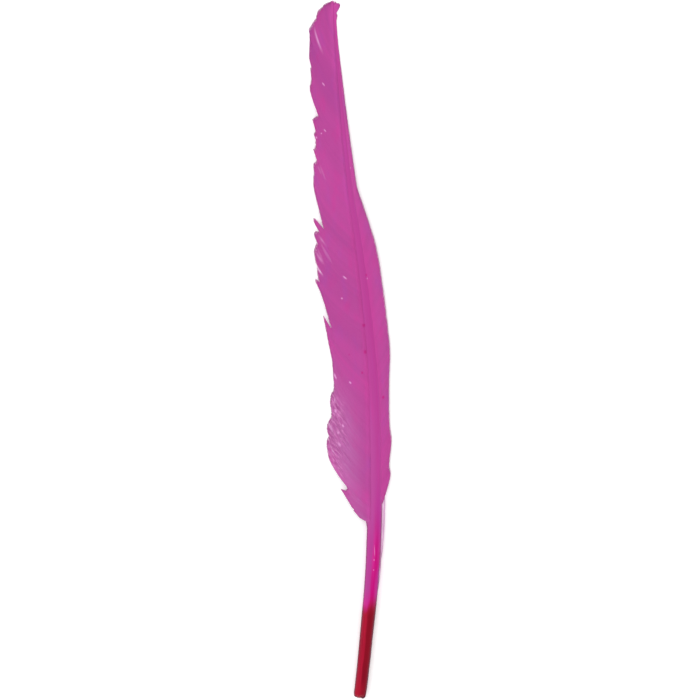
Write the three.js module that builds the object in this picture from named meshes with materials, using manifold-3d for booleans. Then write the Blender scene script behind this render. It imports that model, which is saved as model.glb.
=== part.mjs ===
// A dyed goose quill feather, lying on a flat surface with its smooth upper side up.
// Millimetres: +Y runs from the cut end of the quill to the tip, +X is across, +Z is up.
// It grew as one piece: a round quill that tapers into the shaft, a wide trailing vane on
// its left, a narrow leading vane on its right, and a sliver of skin beside the quill
// where the lowest barbs were stripped off.
import * as THREE from "three";
import { mergeVertices } from "three/addons/utils/BufferGeometryUtils.js";
import Module from "manifold-3d";

// The shaft from the quill's cut end to the tip. Each row is y, centre x, half width,
// height of the underside above the surface, and depth of the groove underneath.
const SHAFT = [
  [-153, 4.3, 2.6, 0, 0],
  [-130, 6.8, 2.75, 0, 0],
  [-93, 10, 3.1, 0.1, 0],
  [-58, 10.8, 3.15, 0, 0.5],
  [-22, 10.3, 2.9, 0.3, 0.6],
  [0, 8.9, 2.5, 1.1, 0.55],
  [22, 6.6, 2.2, 2, 0.5],
  [44, 3.8, 1.9, 2.6, 0.4],
  [66, 0.4, 1.55, 2.7, 0.3],
  [88, -2.2, 1.2, 2.3, 0.2],
  [110, -4.2, 0.85, 1.5, 0.1],
  [140, -6.8, 0.45, 0.4, 0],
  [152.4, -7.4, 0.25, 0.2, 0],
];

// The barbs that shape each vane. Each row is the y where the barb leaves the middle of
// the shaft, then the x and y of its tip, and the height of the vane's underside there.
const TRAILING_VANE = {
  side: -1,
  rows: 104,
  steps: 7,
  bow: 0.07,
  camber: 1.5,
  barbs: [
    [-76.3, 4.4, -73.7, 2.4],
    [-75.4, 1.3, -70.1, 1.8],
    [-74, -3.6, -61.6, 1],
    [-70, -9.3, -47.3, 0.3],
    [-64, -10.2, -37, 0],
    [-52, -8.9, -23.9, 0],
    [-35.4, -7.5, -9.9, 0.2],
    [-24.4, -9, 0.7, 0.5],
    [-10, -11.6, 14.3, 0.8],
    [8.6, -15.2, 30.6, 0.6],
    [30.6, -15.9, 53.5, 0],
    [60.5, -16.2, 87.8, 0.4],
    [85.6, -17.5, 113.3, 0.5],
    [98.8, -17.9, 126.5, 0.2],
    [110.7, -17.7, 138.9, 0],
    [118.6, -16.5, 143.7, 0],
    [126.5, -14.6, 148.1, 0],
    [134.5, -11.7, 151.4, 0],
    [141.5, -9.1, 152.8, 0.1],
    [147.2, -7.4, 153.4, 0.1],
  ],
};
const LEADING_VANE = {
  side: 1,
  rows: 80,
  steps: 3,
  bow: 0.03,
  camber: 1.3,
  barbs: [
    [-69.7, 14, -67.5, 2.2],
    [-66.2, 16.8, -58.7, 1.5],
    [-64, 17.5, -54.7, 1.2],
    [-61, 17, -50.8, 1],
    [-52, 18, -39.8, 0.9],
    [-46.4, 17.2, -33.2, 0.9],
    [-26.6, 17, -13.4, 1],
    [-15.6, 17.4, -1.5, 1.1],
    [-2.4, 16.3, 10.8, 1.4],
    [21.8, 12.8, 37.2, 2],
    [32.8, 10.5, 48.2, 2.1],
    [50.4, 5.5, 63.6, 2.2],
    [59.2, 3, 71.1, 2.2],
    [70.2, 1.3, 81.7, 2],
    [92.2, -1.6, 102.3, 1.3],
    [112, -3.8, 119.9, 0.7],
    [129.6, -5.6, 135.3, 0.3],
    [140.6, -6.3, 145.5, 0.1],
    [145.1, -4.9, 150.2, 0],
    [148, -4.7, 151.8, 0],
    [149.6, -5.4, 152.6, 0.1],
    [151.2, -7.2, 153.4, 0.1],
  ],
};
const VANE_THICKNESS = 0.5;
const RIDGE = 0.14; // how far every second row of barbs stands proud
const LEAVES_AT = 0.35; // where the barbs leave the shaft, as a share of its half height

// Where the trailing edge has split into locks: the corners of each gap, from the tip of
// the lock below it, round the bottom of the split, to the tip of the lock above it.
const SPLITS = [
  [[1.4, -70.1], [-3.5, -61.5], [-1.9, -61.7], [-1.2, -60.6], [-5.6, -54.6], [-9.2, -48.6]],
  [[-10.1, -39.4], [-9.2, -38], [-10.2, -35.2]],
  [[-10.1, -32.9], [-8, -29.6], [-8.2, -26.5], [-8.9, -23.1]],
  [[-8.7, -20.4], [-7.1, -16.9], [-7.3, -13.2], [-7.8, -5], [-9.1, 0.7]],
  [[-11.5, 13.9], [-8.3, 9.4], [-11.2, 19.8], [-13.6, 26.5], [-15.6, 30.6]],
  [[-14.6, 35.5], [-11.9, 31.3], [-13.9, 35.8], [-15, 38.1], [-16, 43.1]],
  [[-15.9, 44], [-14.5, 46.9], [-15.9, 51.3]],
  [[-15.6, 56.8], [-11.6, 53.5], [-14.1, 62.9], [-15.8, 69.8], [-16.7, 75.2]],
  [[-16.1, 81.6], [-14.6, 83], [-15.5, 86.1]],
  [[-15.6, 88], [-15, 92], [-16.1, 94.3]],
  [[-16.7, 101.2], [-14, 102.7], [-16.5, 109.5], [-17.5, 113.3]],
  [[-17.4, 116], [-17, 119.2], [-18, 126]],
  [[-17.7, 139.9], [-16.5, 143.7], [-14.9, 145.6], [-14.9, 146.7], [-14.1, 149], [-11.7, 151.4]],
];
const SPLIT_REACH = 6; // how far past the edge each gap is carried to cut it cleanly
const SPLIT_HEIGHT = 20;

// The stripped skin beside the quill, from the foot of the leading vane down to where it
// dies out, with two corners inside the quill.
const SKIN = [
  [9.5, -67.9],
  [13.8, -67.9],
  [15.2, -66.4],
  [15, -79.4],
  [13.2, -98],
  [11.6, -106.7],
  [9, -106.7],
];
const SKIN_THICKNESS = 0.4;

const SHAFT_SIDES = 20;
const SHAFT_STATIONS = 52;
const ROUND_BELOW = -100; // the quill is round up to here
const OVAL_ABOVE = -58; // and from here on it is the oval shaft
const OVAL = 0.9; // height of the oval shaft over its width
const FLAT_UNDERSIDE = Math.sin(THREE.MathUtils.degToRad(72)); // share of its half height

// The cut end of the quill: radius as a share of the quill's, and distance in from the
// end, from the bottom of the small pit out to the full round.
const CUT_END = [[0, 1.8], [0.2, 1.5], [0.26, 0.25], [0.6, 0], [0.88, 0.6], [1, 2.2]];

const { lerp, smoothstep } = THREE.MathUtils;

// A smooth function of y through one column of a table whose first column is y.
function smooth(rows, column) {
  const last = rows.length - 1;
  const slope = (i) => {
    const before = rows[Math.max(i - 1, 0)];
    const after = rows[Math.min(i + 1, last)];
    return (after[column] - before[column]) / (after[0] - before[0]);
  };
  return (y) => {
    let i = 0;
    while (i < last - 1 && y > rows[i + 1][0]) i++;
    const span = rows[i + 1][0] - rows[i][0];
    const t = THREE.MathUtils.clamp((y - rows[i][0]) / span, 0, 1);
    const between = lerp(rows[i][column], rows[i + 1][column], t * t * (3 - 2 * t));
    const leaving = t * (1 - t) * (1 - t) * span * slope(i);
    const arriving = t * t * (1 - t) * span * slope(i + 1);
    return between + leaving - arriving;
  };
}

// The same for a column of heights, which never go below the surface.
function smoothHeight(rows, column) {
  const height = smooth(rows, column);
  return (y) => Math.max(height(y), 0);
}

const shaftX = smooth(SHAFT, 1);
const shaftHalfWidth = smooth(SHAFT, 2);
const shaftLift = smoothHeight(SHAFT, 3);
const shaftGroove = smooth(SHAFT, 4);

function shaftHalfHeight(y) {
  return shaftHalfWidth(y) * lerp(1, OVAL, smoothstep(y, ROUND_BELOW, OVAL_ABOVE));
}

function shaftCentreHeight(y) {
  return shaftLift(y) + FLAT_UNDERSIDE * shaftHalfHeight(y);
}

// Moves every vertex of a geometry to where place(vertex) puts it.
function mapped(geometry, place) {
  const position = geometry.getAttribute("position");
  const vertex = new THREE.Vector3();
  for (let i = 0; i < position.count; i++) {
    vertex.fromBufferAttribute(position, i);
    place(vertex);
    position.setXYZ(i, vertex.x, vertex.y, vertex.z);
  }
  return geometry;
}

// The quill and shaft: a lathe of unit radius, bent and swelled along the shaft's rows,
// flat where it lies on the surface and grooved underneath from the vanes on.
function shaftGeometry() {
  const start = SHAFT[0][0];
  const end = SHAFT[SHAFT.length - 1][0];
  const profile = CUT_END.map(([radius, inward]) => new THREE.Vector2(radius, start + inward));
  const roundFrom = profile[profile.length - 1].y;
  for (let i = 1; i <= SHAFT_STATIONS; i++) {
    profile.push(new THREE.Vector2(1, lerp(roundFrom, end, i / SHAFT_STATIONS)));
  }
  profile.push(new THREE.Vector2(0, end));
  return mapped(new THREE.LatheGeometry(profile, SHAFT_SIDES), (vertex) => {
    const y = vertex.y;
    const radius = Math.hypot(vertex.x, vertex.z);
    const down = Math.min(-vertex.z, radius * FLAT_UNDERSIDE);
    const atBottom = -vertex.z > 0.99 * radius;
    vertex.x = shaftX(y) + vertex.x * shaftHalfWidth(y);
    vertex.z = shaftCentreHeight(y) - down * shaftHalfHeight(y);
    if (atBottom) vertex.z += shaftGroove(y) * radius;
  });
}

// One vane: a box whose length runs along the shaft and whose width runs along the barbs,
// bent so that each barb leaves the shaft, bows towards the quill and reaches its tip.
function vaneGeometry(vane) {
  const tipX = smooth(vane.barbs, 1);
  const tipY = smooth(vane.barbs, 2);
  const tipLift = smoothHeight(vane.barbs, 3);
  const firstRoot = vane.barbs[0][0];
  const lastRoot = vane.barbs[vane.barbs.length - 1][0];
  const box = new THREE.BoxGeometry(1, 1, 1, vane.rows, vane.steps, 1);
  return mapped(box, (vertex) => {
    const row = Math.round((vertex.x + 0.5) * vane.rows);
    const along = vertex.y + 0.5;
    const above = -vane.side * vertex.z * VANE_THICKNESS;
    const root = lerp(firstRoot, lastRoot, row / vane.rows);
    const across = tipX(root) - shaftX(root);
    const forward = tipY(root) - root;
    const bow = vane.bow * 4 * along * (1 - along);
    const rootHeight = shaftCentreHeight(root) + LEAVES_AT * shaftHalfHeight(root);
    const tipHeight = tipLift(root) + VANE_THICKNESS / 2;
    vertex.x = shaftX(root) + across * along + vane.side * bow * forward;
    vertex.y = root + forward * along - bow * Math.abs(across);
    vertex.z = lerp(rootHeight, tipHeight, along ** vane.camber) + above;
    if (row % 2 === 1) vertex.z += RIDGE;
  });
}

// An upright prism over a flat outline of [x, y] corners.
function prism(corners, bottom, height) {
  const shape = new THREE.Shape(corners.map(([x, y]) => new THREE.Vector2(x, y)));
  const geometry = new THREE.ExtrudeGeometry(shape, { depth: height, bevelEnabled: false });
  return geometry.translate(0, 0, bottom);
}

// The air in one split of the trailing edge, closed off outside the vane.
function splitGeometry(corners) {
  const first = corners[0];
  const last = corners[corners.length - 1];
  const outside = [
    [last[0] - SPLIT_REACH, last[1] + SPLIT_REACH / 3],
    [first[0] - SPLIT_REACH, first[1] + SPLIT_REACH / 3],
  ];
  return prism([...corners, ...outside], -SPLIT_HEIGHT / 2, SPLIT_HEIGHT);
}

function skinGeometry() {
  const height = shaftCentreHeight(SKIN[0][1]);
  return prism(SKIN, height - SKIN_THICKNESS / 2, SKIN_THICKNESS);
}

const wasm = await Module();
wasm.setup();

function solid(geometry) {
  const bare = geometry.clone();
  bare.deleteAttribute("normal");
  bare.deleteAttribute("uv");
  const merged = mergeVertices(bare, 1e-4);
  const mesh = new wasm.Mesh({
    numProp: 3,
    vertProperties: merged.getAttribute("position").array,
    triVerts: new Uint32Array(merged.index.array),
  });
  return new wasm.Manifold(mesh);
}

// The whole feather as one closed body, centred on its footprint, resting at z = 0.
function featherGeometry() {
  let trailingVane = solid(vaneGeometry(TRAILING_VANE));
  for (const corners of SPLITS) {
    trailingVane = trailingVane.subtract(solid(splitGeometry(corners)));
  }
  const mesh = solid(shaftGeometry())
    .add(trailingVane)
    .add(solid(vaneGeometry(LEADING_VANE)))
    .add(solid(skinGeometry()))
    .getMesh();
  const geometry = new THREE.BufferGeometry();
  geometry.setAttribute("position", new THREE.BufferAttribute(mesh.vertProperties, mesh.numProp));
  geometry.setIndex(new THREE.BufferAttribute(mesh.triVerts, 1));
  geometry.computeVertexNormals();
  geometry.computeBoundingBox();
  const centre = geometry.boundingBox.getCenter(new THREE.Vector3());
  return geometry.translate(-centre.x, -centre.y, -geometry.boundingBox.min.z);
}

const feather = new THREE.Mesh(
  featherGeometry(),
  new THREE.MeshStandardMaterial({ color: 0xbd4a9a, roughness: 0.6, metalness: 0 }),
);
feather.name = "feather";

const group = new THREE.Group();
group.add(feather);
export default group;
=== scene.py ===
# A dyed goose quill feather lying on a pale floor, its surfaces made over the CAD model.
import math

import bpy
import numpy as np
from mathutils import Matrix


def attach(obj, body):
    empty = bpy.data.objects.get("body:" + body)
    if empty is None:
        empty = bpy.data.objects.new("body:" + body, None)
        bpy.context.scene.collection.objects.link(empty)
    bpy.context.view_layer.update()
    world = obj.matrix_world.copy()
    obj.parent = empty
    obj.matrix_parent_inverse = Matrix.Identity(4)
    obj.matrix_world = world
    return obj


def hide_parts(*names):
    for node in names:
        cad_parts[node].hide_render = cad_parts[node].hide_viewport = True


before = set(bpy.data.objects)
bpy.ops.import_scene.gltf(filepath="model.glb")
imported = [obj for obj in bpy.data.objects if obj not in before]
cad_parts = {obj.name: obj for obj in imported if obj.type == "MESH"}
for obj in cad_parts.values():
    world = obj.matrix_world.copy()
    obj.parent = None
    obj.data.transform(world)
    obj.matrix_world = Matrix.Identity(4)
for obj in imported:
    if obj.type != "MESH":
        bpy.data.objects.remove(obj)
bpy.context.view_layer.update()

# The feather's own tables are in millimetres, as drawn: +Y from the cut end of the quill
# to the tip, +X across towards the narrow vane, +Z up from the surface it lies on.
MM = 0.001

# The shaft. Each row is y, centre x, half width, height of the underside above the
# surface, and depth of the groove underneath.
SHAFT = np.array([
    [-153, 4.3, 2.65, 0, 0],
    [-130, 6.8, 2.8, 0, 0],
    [-93, 10, 3.1, 0.1, 0],
    [-58, 10.8, 3.15, 0, 0.5],
    [-22, 10.3, 2.9, 0.3, 0.6],
    [0, 8.9, 2.5, 1.1, 0.55],
    [22, 6.6, 2.2, 2, 0.5],
    [44, 3.8, 1.9, 2.6, 0.4],
    [66, 0.4, 1.55, 2.7, 0.3],
    [88, -2.2, 1.2, 2.3, 0.2],
    [110, -4.2, 0.85, 1.5, 0.1],
    [140, -6.8, 0.45, 0.4, 0],
    [152.4, -7.4, 0.25, 0.2, 0],
])
ROUND_BELOW = -100  # the quill is round up to here
OVAL_ABOVE = -58  # and from here on it is the oval shaft
OVAL = 0.9  # height of the oval shaft over its width
FLAT_UNDERSIDE = math.sin(math.radians(72))  # share of its half height
LEAVES_AT = 0.9  # where the barbs leave the shaft, as a share of its half height
VANE_THICKNESS = 0.5

# The barbs that shape each vane. Each row is the y where the barb leaves the middle of
# the shaft, then the x and y of its tip, and the height of the vane's underside there.
TRAILING_BARBS = np.array([
    [-79.5, 7.6, -78.6, 2.8], [-78, 7.3, -76.4, 2.7], [-76.4, 6.7, -74.7, 2.6],
    [-75.3, 4.6, -73.9, 2.4], [-74.9, 1.3, -70.1, 1.8], [-73.8, -4.2, -61.2, 1],
    [-70, -9.3, -47.3, 0.3], [-64, -10.2, -37, 0], [-52, -8.9, -23.9, 0],
    [-35.4, -7.5, -9.9, 0.2], [-24.4, -9, 0.7, 0.5], [-10, -11.6, 14.3, 0.8],
    [8.6, -15.2, 30.6, 0.6], [30.6, -15.9, 53.5, 0], [60.5, -16.2, 87.8, 0.4],
    [85.6, -17.5, 113.3, 0.5], [98.8, -17.9, 126.5, 0.2], [110.7, -17.7, 138.9, 0],
    [113.6, -18, 140.8, 0], [118.6, -16.5, 143.7, 0], [126.5, -14.6, 148.1, 0],
    [134.5, -11.7, 151.4, 0], [141.5, -9.1, 152.8, 0.1], [147.2, -7.5, 153.3, 0.1],
    [149.8, -7.3, 153.5, 0.1],
])
LEADING_BARBS = np.array([
    [-69.7, 14, -67.5, 2.2], [-66.2, 16.8, -58.7, 1.5], [-64, 17.5, -54.7, 1.2],
    [-61, 17, -50.8, 1], [-52, 18, -39.8, 0.9], [-46.4, 17.2, -33.2, 0.9],
    [-26.6, 17, -13.4, 1], [-15.6, 17.4, -1.5, 1.1], [-2.4, 16.3, 10.8, 1.4],
    [21.8, 12.8, 37.2, 2], [32.8, 10.5, 48.2, 2.1], [50.4, 5.5, 63.6, 2.2],
    [59.2, 3, 71.1, 2.2], [70.2, 1.3, 81.7, 2], [92.2, -1.6, 102.3, 1.3],
    [112, -3.8, 119.9, 0.7], [129.6, -5.6, 135.3, 0.3], [140.6, -6.3, 145.5, 0.1],
    [142.2, -5.9, 147, 0.1], [143.2, -6.3, 148, 0], [145.6, -6.1, 148.9, 0],
    [147, -4.9, 150.6, 0], [148, -4.75, 151.4, 0], [149.2, -4.95, 152, 0],
    [150.2, -5.7, 152.3, 0.1], [150.8, -6.3, 152.3, 0.1], [151.2, -7.1, 153.3, 0.1],
])

# Where the trailing edge has split into locks: the corners of each gap, from the tip of
# the lock below it, round the bottom of the split, to the tip of the lock above it.
SPLITS = [
    [[1.2, -71], [2, -70.2], [1.1, -69.8]],
    [[1.4, -70.1], [-4.2, -61.2], [-1.9, -61.7], [-1.2, -60.6], [-5.6, -54.6], [-9.2, -48.6]],
    [[-10.1, -39.4], [-9.2, -38], [-10.2, -35.2]],
    [[-10.1, -32.2], [-8.4, -29.8], [-8.3, -26.5], [-8.9, -23.1]],
    [[-8.7, -20.4], [-7.1, -16.9], [-7.3, -13.2], [-7.8, -5], [-9.1, 0.7]],
    [[-11.3, 14.7], [-8.3, 9.2], [-11.2, 19.8], [-13.6, 26.5], [-15.6, 30.6]],
    [[-15.4, 31.2], [-13.7, 30.2], [-14.7, 34.6]],
    [[-14.7, 34.6], [-14.2, 36.2], [-15, 38.1], [-16, 43.1]],
    [[-15.9, 44], [-14.5, 46.9], [-16, 50.4]],
    [[-15.5, 51.9], [-13.7, 51.9], [-15.7, 55.6]],
    [[-15.3, 57.5], [-11.6, 52.9], [-14.1, 62.9], [-15.8, 69.8], [-16.7, 75.2]],
    [[-16.6, 75.4], [-15.9, 76.8], [-16.1, 81.4]],
    [[-16.1, 81.6], [-14.6, 83], [-15.5, 86.1]],
    [[-15.6, 88], [-15, 92], [-16.1, 94.3]],
    [[-15.9, 94.6], [-15.2, 95.6], [-15.8, 98.4]],
    [[-16.7, 101.2], [-14, 102.7], [-16.5, 109.5], [-17.5, 113.3]],
    [[-17.4, 116], [-17, 119.2], [-17.4, 123]],
    [[-17.6, 123.4], [-17.1, 124.5], [-18, 126]],
    [[-18, 140.9], [-16.5, 143.7], [-14.9, 145.6], [-14.9, 146.7], [-14.1, 149], [-11.7, 151.4]],
]
SPLIT_REACH = 6  # how far past the edge each gap is carried

# How far the finest ends and the dyed shaft stand out of the measured outline on each side.
TRAILING_PROUD = 0.12
LEADING_PROUD = 0.3
SHAFT_PROUD = 0.1

# Long openings where neighbouring barbs have come apart, their sides pale with painted light
# that shows through: x, y, length of the opening, its half width, and how pale its sides are.
TRAILING_SLITS = [
    [-14.5, 136.2, 15, 0.14, 0.75], [-13.6, 40.3, 7, 0.15, 0.5], [-12.6, 48, 7, 0.12, 0.4],
    [-13.5, 34.6, 7, 0.4, 0.85],
]

# The shares of a barb's length among which its start and its end are looked for.
START_SHARES = np.linspace(0.01, 0.6, 120)
END_SHARES = np.linspace(0.3, 1, 141)
HIDDEN_ROOT = 0.5  # where a barb starts inside the shaft, as a share of its half width


def smooth(rows, column):
    """A smooth function of y through one column of rows whose first column is y."""
    at, value = rows[:, 0], rows[:, column]
    last = len(rows) - 1
    before = np.maximum(np.arange(last + 1) - 1, 0)
    after = np.minimum(np.arange(last + 1) + 1, last)
    slope = (value[after] - value[before]) / (at[after] - at[before])

    def curve(y):
        i = np.clip(np.searchsorted(at, y, side="right") - 1, 0, last - 1)
        span = at[i + 1] - at[i]
        t = np.clip((y - at[i]) / span, 0, 1)
        between = value[i] + (value[i + 1] - value[i]) * t * t * (3 - 2 * t)
        leaving = t * (1 - t) ** 2 * span * slope[i]
        arriving = t * t * (1 - t) * span * slope[i + 1]
        return between + leaving - arriving

    return curve


def ease(value, low, high):
    """0 below low, 1 above high, and a smooth step between."""
    t = np.clip((value - low) / (high - low), 0, 1)
    return t * t * (3 - 2 * t)


shaft_x = smooth(SHAFT, 1)
shaft_half_width = smooth(SHAFT, 2)
shaft_groove = smooth(SHAFT, 4)
raw_shaft_lift = smooth(SHAFT, 3)


def shaft_half_height(y):
    return shaft_half_width(y) * (1 + (OVAL - 1) * ease(y, ROUND_BELOW, OVAL_ABOVE))


def shaft_centre_height(y):
    return np.maximum(raw_shaft_lift(y), 0) + FLAT_UNDERSIDE * shaft_half_height(y)


def drawing_shift():
    """What takes the drawing's origin to the frame's, from the cut end of the CAD quill."""
    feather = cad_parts["feather"]
    corners = np.array([vertex.co for vertex in feather.data.vertices])
    end_y = corners[:, 1].min()
    end_x = corners[corners[:, 1] < end_y + 0.01 * MM, 0]
    middle_x = (end_x.min() + end_x.max()) / 2
    return np.array([middle_x - SHAFT[0, 1] * MM, end_y - SHAFT[0, 0] * MM, 0])


SHIFT = drawing_shift()


def to_frame(points):
    return np.asarray(points) * MM + SHIFT


class Vane:
    """A vane's middle surface: barbs that leave the shaft, bow towards the quill and end
    at their tips."""

    def __init__(self, side, bow, camber, barbs, splits):
        self.side, self.bow, self.camber = side, bow, camber
        self.first_root, self.last_root = barbs[0, 0], barbs[-1, 0]
        self.tip_x, self.tip_y, self.tip_lift = (smooth(barbs, column) for column in (1, 2, 3))
        self.splits = splits

    def point(self, root, along):
        """Where barbs with these roots are, at these shares of their length."""
        across = self.tip_x(root) - shaft_x(root)
        forward = self.tip_y(root) - root
        bow = self.bow * 4 * along * (1 - along)
        root_height = shaft_centre_height(root) + LEAVES_AT * shaft_half_height(root)
        tip_height = np.maximum(self.tip_lift(root), 0) + VANE_THICKNESS / 2
        x = shaft_x(root) + across * along + self.side * bow * forward
        y = root + forward * along - bow * np.abs(across)
        z = root_height + (tip_height - root_height) * along ** self.camber
        return np.stack([x, y, z], axis=-1)

    def tangent(self, root, along):
        step = 0.01
        return (self.point(root, along) - self.point(root, along - step)) / step

    def next_barb(self, root, along):
        """The step across the barbs, for each millimetre of root, square to the barb."""
        step = 0.2
        ahead = (self.point(root + step / 2, along) - self.point(root - step / 2, along)) / step
        course = unit(self.tangent(root, along))
        return ahead - course * (ahead * course).sum(axis=-1, keepdims=True)

    def start(self, root):
        """The share at which a barb is about to come out of the side of the shaft."""
        along = START_SHARES
        place = self.point(root[:, None], along[None, :])
        beside = np.abs(place[..., 0] - shaft_x(place[..., 1]))
        out = beside > HIDDEN_ROOT * shaft_half_width(place[..., 1])
        return along[np.where(out.any(axis=1), out.argmax(axis=1), len(along) - 1)]

    def end(self, root):
        """The share at which a barb ends, short of its tip where the edge is split."""
        along = END_SHARES
        place = self.point(root[:, None], along[None, :])
        cut = np.zeros(place.shape[:2], bool)
        for split in self.splits:
            cut |= inside(carried_out(split), place[..., 0], place[..., 1])
        first_cut = np.where(cut.any(axis=1), cut.argmax(axis=1), len(along) - 1)
        return along[first_cut]


def unit(vectors):
    return vectors / np.linalg.norm(vectors, axis=-1, keepdims=True)


def carried_out(split):
    """A split's corners, closed off outside the vane."""
    return split + [[x - SPLIT_REACH, y + SPLIT_REACH / 3] for x, y in (split[-1], split[0])]


def inside(corners, x, y):
    """Whether each point is inside a closed outline."""
    result = np.zeros(x.shape, bool)
    for (x0, y0), (x1, y1) in zip(corners, corners[1:] + corners[:1]):
        if y0 != y1:
            result ^= ((y0 > y) != (y1 > y)) & (x < x0 + (y - y0) * (x1 - x0) / (y1 - y0))
    return result


TRAILING = Vane(-1, 0.07, 1.5, TRAILING_BARBS - [0, TRAILING_PROUD, 0, 0], SPLITS)
LEADING = Vane(1, 0.03, 1.3, LEADING_BARBS + [0, LEADING_PROUD, 0, 0], [])


class Graph:
    """Adds nodes to a tree, so that each step of a material or a shape reads as one line."""

    def __init__(self, tree):
        self.tree = tree

    def put(self, source, socket):
        if isinstance(source, bpy.types.NodeSocket):
            self.tree.links.new(source, socket)
        else:
            socket.default_value = source

    def node(self, kind, inputs=None, **settings):
        node = self.tree.nodes.new(kind)
        for name, value in settings.items():
            setattr(node, name, value)
        for name, value in (inputs or {}).items():
            self.put(value, node.inputs[name])
        return node

    def out(self, kind, inputs=None, **settings):
        """What a new node puts out first."""
        return self.node(kind, inputs, **settings).outputs[0]

    def math(self, operation, *values):
        return self.out("ShaderNodeMath", dict(enumerate(values)), operation=operation)

    def plus(self, first, second):
        return self.math("ADD", first, second)

    def minus(self, first, second):
        return self.math("SUBTRACT", first, second)

    def times(self, first, *others):
        for other in others:
            first = self.math("MULTIPLY", first, other)
        return first

    def vector(self, operation, *values):
        node = self.node("ShaderNodeVectorMath", dict(enumerate(values)), operation=operation)
        return node.outputs["Value" if operation == "DOT_PRODUCT" else "Vector"]

    def scaled(self, vector, factor):
        return self.out("ShaderNodeVectorMath", {0: vector, "Scale": factor}, operation="SCALE")

    def combine(self, x, y, z):
        return self.out("ShaderNodeCombineXYZ", {0: x, 1: y, 2: z})

    def separate(self, vector):
        return self.node("ShaderNodeSeparateXYZ", {0: vector}).outputs

    def mix(self, factor, first, second, kind="RGBA", **settings):
        a, b, result = {"RGBA": (6, 7, 2), "VECTOR": (4, 5, 1), "FLOAT": (2, 3, 0)}[kind]
        inputs = {0: factor, a: first, b: second}
        node = self.node("ShaderNodeMix", inputs, data_type=kind, **settings)
        return node.outputs[result]

    def step(self, value, low, high, to_low=0.0, to_high=1.0):
        """A smooth step of value between low and high."""
        inputs = {0: value, 1: low, 2: high, 3: to_low, 4: to_high}
        return self.out("ShaderNodeMapRange", inputs, interpolation_type="SMOOTHSTEP")

    def noise(self, vector, scale, detail=2.0, roughness=0.5):
        inputs = {"Vector": vector, "Scale": scale, "Detail": detail, "Roughness": roughness}
        return self.out("ShaderNodeTexNoise", inputs)

    def attribute(self, name, output="Fac"):
        return self.node("ShaderNodeAttribute", attribute_name=name).outputs[output]


def new_group(name, tree_kind, inputs, outputs):
    """A node group with these inputs and outputs, each with its kind, and its nodes."""
    tree = bpy.data.node_groups.new(name, tree_kind)
    for in_out, kinds in (("INPUT", inputs), ("OUTPUT", outputs)):
        for socket, kind in kinds.items():
            tree.interface.new_socket(socket, in_out=in_out, socket_type="NodeSocket" + kind)
    graph = Graph(tree)
    return tree, graph, graph.node("NodeGroupInput").outputs


def srgb(red, green, blue):
    """A colour read off a screen, 0 to 255, as Blender's linear colour."""
    shares = [channel / 255 for channel in (red, green, blue)]
    linear = [c / 12.92 if c <= 0.04045 else ((c + 0.055) / 1.055) ** 2.4 for c in shares]
    return (*linear, 1.0)


WING_THINNING = 1.6  # how far a barb's wings are drawn in towards its rib
WAVES_ALONG = 2.5  # how many waves a loose barb has along its length
FAR_APART = 997.0  # between the noise of one barb and the next
END_SHARE = 0.03  # of a row of the baking map, for each closed end of a barb


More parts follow.
